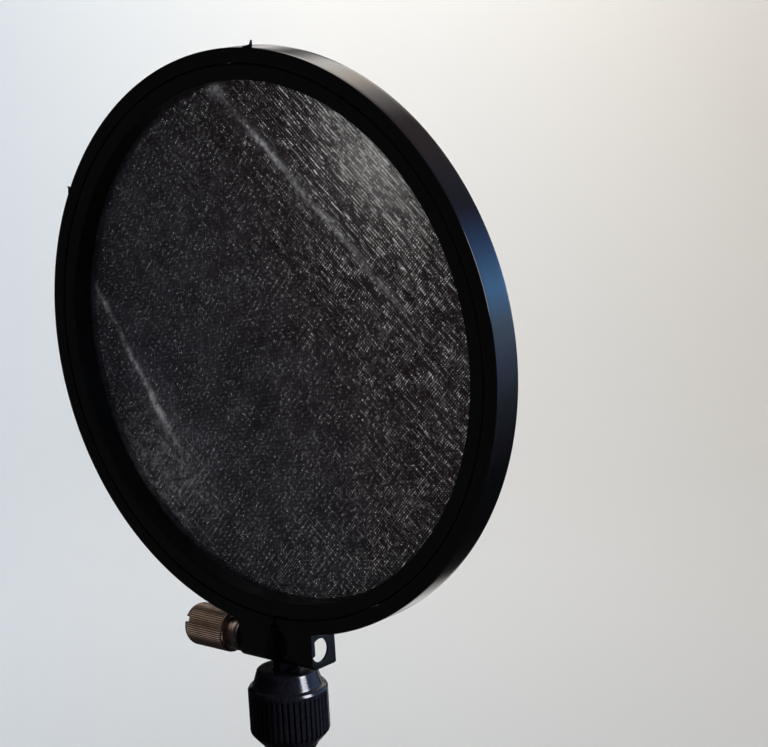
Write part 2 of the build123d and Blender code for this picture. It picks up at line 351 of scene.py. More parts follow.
def plastic(name, colour, rough, origin=(0, 0, 0), lathe=None, grain=0.0, dust=0.0, gloss=0.5):
    """Moulded black plastic: uneven gloss, fine scratches or turning marks, a few dust specks."""
    t = Tree(name)
    p = t.place(origin)
    big = t.noise(p, 0.05, 3)
    small = t.noise(p, 1.3, 4, 0.6)
    if lathe:
        angle, radius, along = t.around(p, lathe)
        marks = t.noise(t.join(t.math("MULTIPLY", angle, 1.5), t.math("MULTIPLY", radius, 7.0), t.math("MULTIPLY", along, 7.0)), 1.0, 4, 0.65)
    else:
        marks = t.noise(p, 6.0, 3, 0.6)
    r = t.math("ADD", rough, t.math("MULTIPLY", t.math("SUBTRACT", big, 0.5), 0.16))
    r = t.math("ADD", r, t.math("MULTIPLY", t.math("SUBTRACT", marks, 0.5), 0.14), clamp=True)
    t.out("Roughness", r)
    col = t.mix(t.range(small, 0.35, 0.75, 0, 1), colour, tuple(min(1, c * 1.55 + 0.0015) for c in colour))
    if dust:
        specks = t.node("ShaderNodeTexVoronoi", feature="F1")
        t.set(specks.inputs["Vector"], p)
        specks.inputs["Scale"].default_value = 0.16
        mask = t.math("MULTIPLY", t.range(specks.outputs["Distance"], 0.016, 0.03, 1, 0), t.range(t.noise(p, 0.03, 2), 0.5, 0.6, 0, dust))
        col = t.mix(mask, col, (0.16, 0.16, 0.165))
    t.out("Base Color", col)
    t.out("IOR", 1.5)
    t.out("Specular IOR Level", gloss)
    n = t.bump(marks, 0.10 if lathe else 0.06, 0.00005)
    if grain:
        n = t.bump(t.noise(p, 3.2, 4, 0.7), grain, 0.00012, n)
    t.out("Normal", n)
    return t.mat


def metal(name, colour, rough, origin=(0, 0, 0), axis="X", brushed=1.0, warm=None):
    """Plated or machined steel with fine lines along or around its axis."""
    t = Tree(name)
    p = t.place(origin)
    angle, radius, along = t.around(p, axis)
    lines = t.noise(t.join(t.math("MULTIPLY", angle, 14.0), t.math("MULTIPLY", radius, 2.0), t.math("MULTIPLY", along, 0.5)), 1.0, 4, 0.7)
    rings = t.noise(t.join(t.math("MULTIPLY", angle, 0.6), t.math("MULTIPLY", radius, 5.0), t.math("MULTIPLY", along, 9.0)), 1.0, 3, 0.6)
    stain = t.noise(p, 0.35, 4, 0.6)
    col = t.mix(t.range(stain, 0.35, 0.7, 0, 1), colour, warm or tuple(c * 0.82 for c in colour))
    t.out("Base Color", col)
    t.out("Metallic", 1.0)
    r = t.math("ADD", rough, t.math("MULTIPLY", t.math("SUBTRACT", lines, 0.5), 0.22 * brushed))
    r = t.math("ADD", r, t.math("MULTIPLY", t.math("SUBTRACT", stain, 0.5), 0.2), clamp=True)
    t.out("Roughness", r)
    n = t.bump(lines, 0.15 * brushed, 0.00004)
    t.out("Normal", t.bump(rings, 0.08, 0.00003, n))
    return t.mat


FADE_NEAR, FADE_FAR = 0.80, 1.05


def woven(name, turn, pitch_u, pitch_v, shade, origin, seed, depth, relief=0.7, gleam=0.3):
    """Fine open weave: two thread families at right angles with real holes between them.
    The sheet's own attributes say how open it is, which way the holes stretch and where it is creased."""
    t = Tree(name)
    p = t.place(origin)
    x, y, z = t.split(p)
    wx = t.math("MULTIPLY", t.math("SUBTRACT", t.noise(t.join(x, z, seed), 0.035, 2), 0.5), 1.5)
    wz = t.math("MULTIPLY", t.math("SUBTRACT", t.noise(t.join(z, seed + 7.0, x), 0.04, 2), 0.5), 1.5)
    wx = t.math("ADD", wx, t.math("MULTIPLY", t.math("SUBTRACT", t.noise(t.join(x, seed + 4.0, z), 0.6, 2), 0.5), 0.55))
    wz = t.math("ADD", wz, t.math("MULTIPLY", t.math("SUBTRACT", t.noise(t.join(seed + 5.0, z, x), 0.55, 2), 0.5), 0.55))
    x2, z2 = t.math("ADD", x, wx), t.math("ADD", z, wz)
    c, s = math.cos(turn), math.sin(turn)
    u = t.math("ADD", t.math("MULTIPLY", x2, c / pitch_u), t.math("MULTIPLY", z2, s / pitch_u))
    v = t.math("ADD", t.math("MULTIPLY", x2, -s / pitch_v), t.math("MULTIPLY", z2, c / pitch_v))
    cell = t.node("ShaderNodeTexWhiteNoise", noise_dimensions="3D")
    t.set(cell.inputs["Vector"], t.join(t.math("FLOOR", u), t.math("FLOOR", v), seed))
    # runs of a few holes along one thread share their width, as a thread wanders between its neighbours
    row = t.math("FLOOR", u)
    run = t.node("ShaderNodeTexWhiteNoise", noise_dimensions="3D")
    t.set(run.inputs["Vector"], t.join(row, t.math("FLOOR", t.math("ADD", t.math("MULTIPLY", v, 0.22), t.math("FRACT", t.math("MULTIPLY", row, 0.618)))), seed + 20.0))
    # warm runs from 0 at the lower left of the sheet to 1 at the upper right; it makes the holes vary more there, and
    # below it places painted warm and cool light
    warm = t.node("ShaderNodeAttribute", attribute_name="warm").outputs["Fac"]
    spread = t.math("ADD", 1.15, t.math("MULTIPLY", warm, 0.95))
    along = t.math("ADD", 0.25, t.math("MULTIPLY", warm, 0.40))
    mixed = t.math("ADD", t.math("MULTIPLY", run.outputs["Value"], along), t.math("MULTIPLY", cell.outputs["Value"], t.math("SUBTRACT", 1.0, along)))
    uneven = t.math("ADD", 1.0, t.math("MULTIPLY", t.math("SUBTRACT", mixed, 0.5), t.math("MULTIPLY", spread, 1.25)))
    cloud = t.math("ADD", 0.30, t.math("MULTIPLY", t.noise(t.join(x, z, seed + 3.0), 0.16, 7, 0.78), 1.40))
    share = t.node("ShaderNodeAttribute", attribute_name="open").outputs["Fac"]
    side = t.math("MULTIPLY", t.math("SQRT", share), t.math("MULTIPLY", uneven, cloud))
    stretch = t.node("ShaderNodeAttribute", attribute_name="stretch").outputs["Fac"]
    hu = t.math("MINIMUM", t.math("MULTIPLY", side, stretch), 0.93)
    hv = t.math("MINIMUM", t.math("DIVIDE", side, stretch), 0.93)
    du = t.math("MULTIPLY", t.math("ABSOLUTE", t.math("SUBTRACT", t.math("FRACT", u), 0.5)), 2.0)
    dv = t.math("MULTIPLY", t.math("ABSOLUTE", t.math("SUBTRACT", t.math("FRACT", v), 0.5)), 2.0)
    hole = t.math("MULTIPLY", t.range(t.math("SUBTRACT", hu, du), -0.07, 0.07, 0, 1), t.range(t.math("SUBTRACT", hv, dv), -0.07, 0.07, 0, 1))
    crease = t.node("ShaderNodeAttribute", attribute_name="crease").outputs["Fac"]
    hole = t.math("MULTIPLY", hole, t.math("SUBTRACT", 1.0, t.math("MULTIPLY", crease, 0.8)), clamp=True)
    # fine filaments bridge the holes: only part of the light follows the open pattern
    even = t.math("MULTIPLY", t.math("MULTIPLY", share, cloud), t.math("SUBTRACT", 1.0, t.math("MULTIPLY", crease, 0.8)), clamp=True)
    plain = t.range(share, 0.14, 0.36, depth, depth * 0.5)
    # from further off single holes are too small to see and only their average is left
    near = t.range(t.node("ShaderNodeCameraData").outputs["View Distance"], FADE_NEAR, FADE_FAR, 1.0, 0.15)
    plain = t.math("MULTIPLY", plain, near)
    through = t.math("ADD", t.math("MULTIPLY", hole, plain), t.math("MULTIPLY", even, t.math("SUBTRACT", 1.0, plain)))
    t.out("Alpha", t.math("SUBTRACT", 1.0, through))
    # round threads that pass over and under each other
    over = t.math("MULTIPLY", t.math("COSINE", t.math("MULTIPLY", u, math.pi)), t.math("COSINE", t.math("MULTIPLY", v, math.pi)))
    height = t.math("ADD", t.math("MULTIPLY", t.math("MAXIMUM", du, dv), 0.6), t.math("MULTIPLY", over, 0.4))
    height = t.math("MULTIPLY", height, near)
    blotch = t.range(t.noise(t.join(x, z, seed + 1.0), 0.09, 4, 0.6), 0.4, 0.7, 0, 1)
    # painted light: a shaded and a lit copy of the thread colour, the lit one in blotches; both are painted warm
    # towards the upper right and cool towards the lower left, where warm and cool light fall
    painted_shade_tint = t.mix(warm, (shade * 1.15, shade * 0.95, shade * 1.7), (shade * 2.3, shade * 0.95, shade * 1.15))
    painted_lit_tint = t.mix(warm, (shade * 3.9, shade * 3.3, shade * 5.0), (shade * 4.2, shade * 2.2, shade * 2.5))
    col = t.mix(t.math("MULTIPLY", blotch, t.math("ADD", 0.4, t.math("MULTIPLY", cell.outputs["Value"], 0.6))), painted_shade_tint, painted_lit_tint)
    # painted highlight: threads at their crossings are painted pale as glints, fading out from further off
    painted_glint = t.math("MULTIPLY", t.range(cell.outputs["Value"], 0.8, 1.0, 0, 1), t.range(over, 0.2, 0.9, 0, 1))
    col = t.mix(t.math("MULTIPLY", t.math("MULTIPLY", painted_glint, near), 0.8), col, (0.19, 0.172, 0.182))
    # threads drawn paler along the fold lines and in the pale patches that the crease attribute marks
    paleness = t.math("MULTIPLY", crease, t.math("ADD", 0.40, t.math("MULTIPLY", cell.outputs["Value"], 1.35)), clamp=True)
    col = t.mix(paleness, col, (0.72, 0.69, 0.70))
    t.out("Base Color", col)
    t.out("Roughness", 0.55)
    t.out("Specular IOR Level", gleam)
    t.out("Sheen Weight", 0.06)
    t.out("Sheen Roughness", 0.4)
    t.out("Sheen Tint", (0.75, 0.74, 0.8, 1))
    t.out("Normal", t.bump(height, relief, 0.00012))
    return t.mat


ringc = (HX, HY, HZ)
hoop_mat = plastic("hoop plastic", (0.0019, 0.0019, 0.0021), 0.13, ringc, lathe="Y", dust=0.35)
inner_mat = plastic("inner hoop plastic", (0.0019, 0.0019, 0.0021), 0.30, ringc, lathe="Y")
stem_mat = plastic("stem plastic", (0.0016, 0.0016, 0.0018), 0.42, ringc, grain=0.1, gloss=0.12)
collar_mat = plastic("collar plastic", (0.0014, 0.0014, 0.0021), 0.145, (HX, 0, HZ), lathe="Z", gloss=0.12)
satin_mat = plastic("satin black", (0.008, 0.008, 0.0085), 0.5, ringc, grain=0.25)
clamp_mat = plastic("clamp paint", (0.012, 0.012, 0.013), 0.42, (0, 0, 0), grain=0.4)
knob_mat = plastic("knob plastic", (0.008, 0.008, 0.009), 0.38, (60, 0, 0), grain=0.3)
dull_mat = metal("dull zinc", (0.27, 0.25, 0.235), 0.44, (HX, 0, HZ + PZ), "X", 1.0)
nickel_mat = metal("warm nickel", (0.42, 0.325, 0.27), 0.36, (HX, 0, HZ + PZ), "X", 1.0, (0.33, 0.235, 0.18))
zinc_mat = metal("zinc steel", (0.60, 0.60, 0.61), 0.34, (HX, 0, HZ + PZ), "X", 0.8, (0.5, 0.5, 0.49))
bright_mat = metal("clamp steel", (0.58, 0.58, 0.59), 0.3, (0, 0, 0), "X", 0.8, (0.48, 0.48, 0.47))
ferrule_mat = plastic("ferrule black", (0.008, 0.008, 0.009), 0.3, (HX, 0, HZ), lathe="Z")
root_mat = plastic("root ferrule black", (0.008, 0.008, 0.009), 0.3, (0, 0, 0), lathe="X")
fibre_mat = plastic("nylon washer", (0.55, 0.53, 0.48), 0.5, (HX, 0, HZ), grain=0.2)
rubber_mat = plastic("grip rubber", (0.014, 0.014, 0.014), 0.78, (0, 0, 0), grain=0.6)
front_mat = woven("front weave", math.radians(48), 0.86, 0.64, 0.0115, ringc, 1.7, 0.88)
rear_mat = woven("rear weave", math.radians(49.2), 0.555, 0.455, 0.008, ringc, 9.3, 0.50, 0.12, 0.08)


# ------------------------------------------------------------------ hoop head
R_OUT, R_IN, DEPTH = 77.5, 73.6, 9.15
edge = rounded([(R_IN, 0), (R_OUT, 0), (R_OUT, DEPTH), (R_IN, DEPTH)], [0.35, 0.5, 0.5, 0.35], 5)
edge = fine(edge, 1.6)
hoop = turned("hoop_outer_shell", edge, "Y", 600, ringc)
LUG_B, LUG_D = -86.7, 10.0


def lug(name, x0, x1):
    out = rounded([(0, LUG_B), (0, -74.9), (LUG_D - 0.15, -74.9), (LUG_D, LUG_B)], [2.2, 0, 0, 0.6], 7)
    return prism(name, out, "X", x0, x1, ringc, 0.4, 3)


left = lug("l", -13.6, -1.4)
# rounded lower left corner
arc = [(-16.0, LUG_B - 2.0), (-12.1, LUG_B - 2.0)] + [(-12.1 - 1.5 * math.sin(a), LUG_B + 1.5 - 1.5 * math.cos(a)) for a in np.linspace(0, math.pi / 2, 8)] + [(-16.0, LUG_B + 1.5)]
cut = prism("c", arc, "Y", -2, 12, ringc)
left = boolean(left, [cut], "DIFFERENCE")
right = lug("r", 1.4, 12.5)
wide = prism("w", [(-1.4, -91), (1.4, -91), (1.4, PZ + 6.0), (-1.4, PZ + 6.0)], "Y", -2, 12, ringc)
thin = prism("t", [(-0.4, -80), (0.4, -80), (0.4, -72), (-0.4, -72)], "Y", -2, 12, ringc)
circle = lambda r, cy, cz, n=48: [(cy + r * math.cos(a), cz + r * math.sin(a)) for a in np.linspace(0, 2 * math.pi, n, endpoint=False)]
hexa = lambda af, cy, cz: [(cy + af / 2 / math.cos(math.pi / 6) * math.cos(a), cz + af / 2 / math.cos(math.pi / 6) * math.sin(a)) for a in np.linspace(0, 2 * math.pi, 6, endpoint=False)]
hoop = boolean(hoop, [wide, thin], "DIFFERENCE")
hoop = boolean(hoop, [left, right], "UNION")
tools = [prism("h1", circle(1.62, PY, PZ), "X", -16, 5, ringc), prism("h2", hexa(5.6, PY, PZ), "X", 2.3, 5.2, ringc),
         prism("h3", rounded([(0.85, LUG_B - 1.0), (14, LUG_B - 1.0), (14, -77.7), (0.85, -77.7)], [0, 0, 0, 0.5], 4), "X", 4.9, 11.9, ringc),
         prism("h4", circle(3.25, PY, PZ, 64), "X", 11.0, 13.5, ringc)]
hoop = boolean(hoop, tools, "DIFFERENCE")
# moulding gates: small pointed nubs on the rim
for k, (deg, tall) in enumerate(((3.1, 1.95), (-60.0, 0.9))):
    base = tall * 1.5
    outline = rounded([(-base, -0.6), (0.45, -0.6), (0.42, tall * 0.35), (0.30, tall), (0.10, tall), (-0.32, tall * 0.42), (-base, 0.05)], [0, 0, 0.1, 0.08, 0.08, 0.5, 0.3], 4)
    nub = prism("n", [(u, R_OUT + v) for u, v in outline], "Y", 0.12, 0.68, (0, 0, 0), 0.1)
    nub.data.transform(Matrix.Translation(Vector(ringc) * MM) @ Matrix.Rotation(math.radians(deg), 4, "Y"))
    hoop = boolean(hoop, [nub], "UNION")
put(hoop, "head", hoop_mat, "gloss_black", "outer_hoop")

lo_i, hi_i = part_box("inner_hoop")
inner = turned("hoop_inner_shell", fine(rounded([(69.2, 0.2), (73.25, 0.2), (73.25, 6.55), (69.2, 6.55)], [0.5, 0.4, 0.3, 0.4], 5), 1.5), "Y", 540, ringc)
put(inner, "head", inner_mat, "gloss_black", "inner_hoop")
sy0, sy1 = (v.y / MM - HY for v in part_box("spacer_ring"))
put(turned("spacer_band", fine(rounded([(69.3, sy0), (73.3, sy0), (73.3, sy1), (69.3, sy1)], [0.25] * 4, 3), 1.5), "Y", 480, ringc), "head", satin_mat, "satin_black", "spacer_ring")
ry0, ry1 = (v.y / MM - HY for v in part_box("rear_retainer"))
put(turned("rear_retaining_ring", fine(rounded([(69.6, ry0), (73.58, ry0), (73.58, ry1), (69.6, ry1)], [0.1, 0.1, 0.22, 0.22], 3), 1.5), "Y", 480, ringc), "head", satin_mat,
    "satin_black", "rear_retainer")


def crease_at(x, z):
    """Height of the two fold lines left in the fabric, and how much paler their threads are drawn."""
    total = np.zeros_like(x)
    mark = np.zeros_like(x)
    for (x0, z0), (x1, z1), spots in (((-15.2, 66.4), (46.5, 10.4), ((0.27, 0.09, 0.75, 0.80), (0.50, 0.18, 0.8, 0.30), (0.76, 0.24, 1.0, 0.26), (0.05, 0.07, 0.9, 0.13), (0.42, 0.30, 3.4, 0.060))),
                                      ((-66.5, 10.5), (-41.0, -28.6), ((0.10, 0.10, 0.7, 0.40), (0.52, 0.18, 0.75, 0.40), (0.85, 0.15, 1.0, 0.58), (0.70, 0.34, 2.8, 0.060)))):
        dx, dz = x1 - x0, z1 - z0
        length = math.hypot(dx, dz)
        along = ((x - x0) * dx + (z - z0) * dz) / length ** 2
        off = ((x - x0) * -dz + (z - z0) * dx) / length + 0.22 * np.sin(along * 17.0) + 0.12 * np.sin(along * 41.0)
        taper = np.clip((along + 0.02) / 0.15, 0, 1) * np.clip((1.04 - along) / 0.22, 0, 1)
        total += taper * (0.30 * np.exp(-(off / 1.1) ** 2) - 0.10 * np.exp(-((off - 3.0) / 3.0) ** 2))
        for centre, reach, width, strength in spots:
            mark += strength * np.exp(-((along - centre) / reach) ** 2) * np.exp(-(off / width) ** 2) * (0.85 + 0.15 * np.sin(along * 60.0))
    mark += 0.34 * np.exp(-((x + 15.5) / 2.6) ** 2 - ((z - 66.0) / 1.8) ** 2)
    # pale patches low on the left and a faint pale scatter elsewhere
    patch = np.exp(-((x + 45) / 15.0) ** 2 - ((z + 38.0) / 15.0) ** 2)
    mark += 0.12 * patch * (0.55 + 0.5 * np.sin(x * 0.61 + 1.3 * np.sin(z * 0.37)) * np.cos(z * 0.83 + 0.9 * np.sin(x * 0.45))) + 0.02 * patch
    mark += 0.016 * np.clip(np.sin(x * 0.23 + 1.7 * np.sin(z * 0.11)) * np.cos(z * 0.29 + 1.3 * np.sin(x * 0.17)), 0, 1)
    return total, np.clip(mark, 0, 1)


def openness(x, z):
    """How open the weave is, and which way its holes stretch, from the pull of the hoops."""
    w, v = (x + z) / math.sqrt(2), (x - z) / math.sqrt(2)
    share = 0.105 + 0.30 * np.exp(-((w - 61) / 15) ** 2) * np.exp(-((v + 8) / 27) ** 2) + 0.05 * np.exp(-((w - 34) / 16) ** 2) * np.exp(-((v - 6) / 40) ** 2)
    share += 0.06 * np.exp(-((x + 38) / 16) ** 2 - ((z + 42) / 14) ** 2) + 0.035 * np.clip((v - 15) / 40, 0, 1) - 0.012 * np.clip((-x - 35) / 25, 0, 1) * np.clip((z + 30) / 20, 0, 1)
    k = np.clip((w - 34) / 16, 0, 1) * np.clip((24 - v) / 20, 0, 1)
    # warm: 0 at the lower left, 1 at the upper right; it sets where the weave's colour is painted with warm light and
    # where with cool light, and how unevenly the holes open
    warm = np.clip(0.5 + (x + 0.6 * z) / 95.0, 0, 1)
    return share, warm, 1.22 ** (1 - 2 * k * k * (3 - 2 * k))


def sheet(name, y_plane, r_max, front, skirt_to=None, seed=0.0):
    """Stretched mesh disc as a fine sheet, with shallow waves, fold lines and, in front, a turned edge."""
    rings = np.concatenate([np.arange(0.8, r_max, 0.55), [r_max]])
    segs = 620
    t = np.linspace(0, 2 * math.pi, segs, endpoint=False)
    verts = [(0.0, y_plane, 0.0)]
    marks = [0.0]
    flat = [(0.0, 0.0)]
    faces = []
    for r in rings:
        x, z = r * np.cos(t), r * np.sin(t)
        hold = np.clip((69.0 - r) / 14.0, 0, 1)
        hold = hold * hold * (3 - 2 * hold)
        wave = 0.11 * np.sin(x * 0.085 + z * 0.05 + seed) + 0.08 * np.sin(x * 0.16 - z * 0.12 + 1.3 + seed) + 0.05 * np.sin(z * 0.33 + x * 0.07 + seed)
        lift, mark = crease_at(x, z) if front else (np.zeros_like(x), np.zeros_like(x))
        y = y_plane - hold * (wave + lift)
        verts += list(zip(x, y, z))
        marks += list(mark * np.clip((71.5 - r) / 2.0, 0, 1))
        flat += list(zip(x, z))
    last = len(rings)
    for i in range(segs):
        faces.append((0, 1 + i, 1 + (i + 1) % segs))
    for j in range(last - 1):
        a, b = 1 + j * segs, 1 + (j + 1) * segs
        for i in range(segs):
            k = (i + 1) % segs
            faces.append((a + i, b + i, b + k, a + k))
    if skirt_to is not None:
        for y in np.linspace(y_plane - 0.25, skirt_to, 9):
            base = len(verts)
            verts += [(73.4 * math.cos(q), y, 73.4 * math.sin(q)) for q in t]
            marks += [0.0] * segs
            flat += [(73.4 * math.cos(q), 73.4 * math.sin(q)) for q in t]
            prev = base - segs
            for i in range(segs):
                k = (i + 1) % segs
                faces.append((prev + i, base + i, base + k, prev + k))
    ob = link(name, verts, faces, ringc, sharp=60, fix=False)
    flat = np.array(flat)
    share, warm, stretch = openness(flat[:, 0], flat[:, 1])
    for key, values in (("crease", np.array(marks)), ("open", share), ("warm", warm), ("stretch", stretch)):
        at = ob.data.attributes.new(key, "FLOAT", "POINT")
        at.data.foreach_set("value", values.astype(np.float32))
    return ob


put(sheet("mesh_front_layer", 6.72, 73.3, True, 0.7), "head", front_mat, "mesh_fabric", "front_mesh")
rm0, rm1 = (v.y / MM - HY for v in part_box("rear_mesh"))
put(sheet("mesh_rear_layer", (rm0 + rm1) / 2, 73.25, False, seed=2.1), "head", rear_mat, "mesh_fabric", "rear_mesh")

# ------------------------------------------------------------------ thumb screw
SCREW = (HX, 0.0, HZ + PZ)
prof = [(0, -33.2), (2.4, -33.22), (3.8, -33.15), (4.65, -32.88), (5.25, -32.45), (5.6, -31.95), (5.82, -31.45), (5.9, -30.95)]
prof += [(5.9, x) for x in np.arange(-30.3, -19.0, 0.7)]
prof += [(5.9, -18.95), (5.82, -18.6), (5.45, -18.35), (4.7, -18.2), (4.25, -18.15), (4.2, -17.9), (4.2, -16.3), (4.25, -16.05), (4.6, -16.0), (4.85, -15.9),
         (4.95, -15.7), (4.95, -14.55), (4.85, -14.33), (4.6, -14.25), (1.6, -14.25), (1.5, -14.1)]
screw_lo, screw_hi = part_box("thumb_screw")
x = -13.8
while x < 6.9:
    prof.append((1.5, x))
    x += 0.125
prof += [(1.5, 7.1), (1.15, 7.5), (0, 7.5)]


def screw_wave(r, a, t):
    if r > 4.9 and a < -18.4:
        fade = min(1.0, max(0.0, (a + 32.3) / 0.9)) * min(1.0, max(0.0, (-18.55 - a) / 0.35))
        k = (t * 60 / (2 * math.pi)) % 1.0
        ridge = np.minimum(1.0, (1 - np.abs(2 * k - 1)) * 1.5)
        return r - 0.24 * fade * (1 - ridge)
    if abs(r - 1.5) < 0.01 and a > -6:
        k = (a / 0.5 - t / (2 * math.pi)) % 1.0
        return r - 0.24 * (1 - np.abs(2 * k - 1))
    return np.full_like(t, r)


screw = turned("thumb_screw_knurled", prof, "X", 480, SCREW, closed=False, wave=screw_wave, sharp=28)
slot_box = prism("s", rounded([(-7, -0.75), (7, -0.75), (7, 0.75), (-7, 0.75)], [0, 0, 0, 0], 1), "X", -35, -30.8, (0, 0, 0))
slot_box.data.transform(Matrix.Translation(Vector(SCREW) * MM) @ Matrix.Rotation(math.radians(-28.5), 4, "X"))
screw = boolean(screw, [slot_box], "DIFFERENCE")
screw.data.set_sharp_from_angle(angle=math.radians(28))
put(screw, "thumb_screw", nickel_mat, "warm_nickel", "thumb_screw")

# ------------------------------------------------------------------ ribbed collar
cz = HZ
outline = rounded([(4.05, -88.6), (8.05, -88.6), (9.5, -93.05), (10.5, -93.45), (10.85, -94.2), (10.85, -95.8), (10.85, -106.0), (8.7, -108.6), (7.05, -108.6), (7.05, -91.5), (4.05, -91.5)],
                  [0.25, 0.6, 0.35, 0.45, 0.4, 0, 1.6, 0.4, 0.2, 0.4, 0.1], 6)
outline = fine(outline, 0.7)


def collar_wave(r, a, t):
    if r > 9.9 and -107.1 < a < -95.0:
        fade = min(1.0, (-95.0 - a) / 0.35) * min(1.0, max(0.0, (a + 107.1) / 0.6))
        k = (t * 44 / (2 * math.pi)) % 1.0
        groove = np.clip((np.abs(2 * k - 1) - 0.42) / 0.30, 0, 1)
        return r - 0.45 * fade * groove * groove * (3 - 2 * groove)
    return np.full_like(t, r)


collar = turned("ribbed_lock_collar", outline, "Z", 616, (HX, 0, HZ), wave=collar_wave, sharp=40)
put(collar, "collar", collar_mat, "gloss_black", "lock_collar")


# ------------------------------------------------------------------ wound flexible neck
def neck_at(s):
    """Centre and tangent of the neck at distance s, mm."""
    if s <= RUN_1:
        return np.array([NECK_START - s, 0, 0]), np.array([-1.0, 0, 0])
    if s <= RUN_1 + ARC:
        a = (s - RUN_1) / BEND_R
        return np.array([NECK_START - RUN_1 - BEND_R * math.sin(a), 0, BEND_R - BEND_R * math.cos(a)]), np.array([-math.cos(a), 0, math.sin(a)])
    return np.array([HX, 0, BEND_R + s - RUN_1 - ARC]), np.array([0, 0, 1.0])


def sleeve(name, s0, s1, segs=56, per=11, pitch=2.6):
    n = int(math.ceil((s1 - s0) / (pitch / per)))
    ss = np.linspace(s0, s1, n + 1)
    t = np.linspace(0, 2 * math.pi, segs, endpoint=False)
    verts, faces = [], []
    for s in ss:
        c, d = neck_at(s)
        side = np.array([0, 1.0, 0])
        up = np.cross(d, side)
        k = (s / pitch - t / (2 * math.pi)) % 1.0
        # round wire with a narrow valley between turns
        h = np.sqrt(np.clip(1 - (2 * k - 1) ** 2 * 0.96, 0, 1))
        r = 6.5 - 0.62 * (1 - h)
        verts.append(c + np.outer(r * np.cos(t), side) + np.outer(r * np.sin(t), up))
    verts = np.concatenate(verts)
    for j in range(n):
        for i in range(segs):
            k = (i + 1) % segs
            faces.append((j * segs + i, j * segs + k, (j + 1) * segs + k, (j + 1) * segs + i))
    ends = np.array([neck_at(s0)[0], neck_at(s1)[0]])
    m = len(verts)
    verts = np.concatenate([verts, ends])
    for i in range(segs):
        k = (i + 1) % segs
        faces.append((i, k, m))
        faces.append((n * segs + i, n * segs + k, m + 1))
    return link(name, verts, faces, sharp=60)


neck_mat = Tree("wound neck")
p = neck_mat.place((0, 0, 0))
wear = neck_mat.noise(p, 0.5, 4, 0.6)
neck_mat.out("Base Color", neck_mat.mix(neck_mat.range(wear, 0.4, 0.75, 0, 1), (0.006, 0.006, 0.0065), (0.014, 0.014, 0.015)))
neck_mat.out("Metallic", 0.35)
neck_mat.out("Roughness", neck_mat.range(neck_mat.noise(p, 1.7, 4, 0.6), 0.3, 0.7, 0.26, 0.46))
neck_mat.out("Normal", neck_mat.bump(neck_mat.noise(p, 5.0, 3, 0.6), 0.12, 0.00005))
neck_mat = neck_mat.mat
STEP_S = LENGTH / SECTIONS
for k in range(1, SECTIONS):
    s0 = 0.0 if k == 1 else (k - 0.5) * STEP_S
    s1 = LENGTH if k == SECTIONS - 1 else (k + 0.5) * STEP_S
    piece = sleeve("neck_sleeve_%d" % k, s0, s1)
    piece.data.materials.append(neck_mat)
    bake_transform(piece)
    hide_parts(*(["neck_section_1", "neck_section_2"] if k == 1 else ["neck_section_%d" % (k + 1)]))

# ------------------------------------------------------------------ clamp screw and knob
def thread_wave(r, a, t):
    if abs(r - 4.0) < 0.01 and 20.6 < a < 53.0:
        k = (a / 1.25 - t / (2 * math.pi)) % 1.0
        fade = min(1.0, (a - 20.6) / 0.8)
        return r - 0.55 * fade * np.clip(np.abs(2 * k - 1) * 1.25 - 0.15, 0, 1)
    return np.full_like(t, r)


prof = [(0, 14.3), (3.6, 14.3), (3.9, 14.45), (4.0, 14.7), (4.0, 16.75), (3.9, 16.88), (2.9, 16.9), (2.8, 17.0), (2.8, 19.0), (3.9, 19.9)]
x = 20.0
while x < 53.2:
    prof.append((4.0, x))
    x += 0.12
prof += [(4.0, 53.3), (4.0, 65.5), (3.9, 65.95), (0, 66.0)]
put(turned("clamp_screw_threaded", prof, "X", 64, closed=False, wave=thread_wave, sharp=50), "spindle", bright_mat, "zinc_steel", "clamp_spindle")

body = rounded([(4.03, 53.2), (8.0, 53.2), (8.8, 57.5), (15.2, 57.5), (15.2, 69.5), (11.5, 70.6), (10.5, 71.0), (0.01, 71.0), (0.01, 66.3), (4.03, 66.3)],
               [0.2, 0.9, 0.6, 1.6, 1.8, 0.8, 0.3, 0, 0, 0.3], 6)
body = fine(body, 0.8)


def knob_wave(r, a, t):
    lobe = max(0.0, min(1.0, (r - 8.9) / 5.5))
    lobe = lobe * lobe * (3 - 2 * lobe)
    return r + 1.6 * lobe * np.cos(6 * t) if r > 8.9 else np.full_like(t, r)


put(turned("clamp_knob_grip", body, "X", 180, wave=knob_wave, sharp=45), "spindle", knob_mat, "satin_black", "clamp_knob")

# ------------------------------------------------------------------ carried-over CAD nodes
for node, material in (("swivel_stem", stem_mat), ("hex_nut", zinc_mat), ("screw_washer", dull_mat), ("friction_washer", fibre_mat), ("upper_ferrule", ferrule_mat),
                       ("lower_ferrule", root_mat), ("lock_nut", bright_mat), ("clamp_body", clamp_mat), ("clamp_liner", rubber_mat), ("pad_rubber", rubber_mat),
                       ("pressure_pad", bright_mat), ("pad_retainer", bright_mat)):
    ob = NODES[node]
    ob.data.materials.clear()
    ob.data.materials.append(material)

# ------------------------------------------------------------------ studio
scene = bpy.context.scene
right_v = Vector((0.7704, 0.6355, -0.0515)).normalized()
up_v = Vector((-0.0937, 0.1928, 0.9768)).normalized()
back_v = Vector((0.6306, -0.7477, 0.2081)).normalized()
cam_data = bpy.data.cameras.new("camera")
cam = bpy.data.objects.new("camera", cam_data)
scene.collection.objects.link(cam)
cam_data.sensor_width = 36.0
cam_data.sensor_fit = "HORIZONTAL"
cam_data.lens = 2203.6 * 36.0 / 768.0
cam_data.clip_start, cam_data.clip_end = 0.01, 50
m = Matrix.Identity(4)
for i, v in enumerate((right_v, up_v, back_v)):
    for j in range(3):
        m[j][i] = v[j]
m.translation = (Vector((387.2, -408.4, 110.9)) + Vector(ringc)) * MM
cam.matrix_world = m
scene.camera = cam

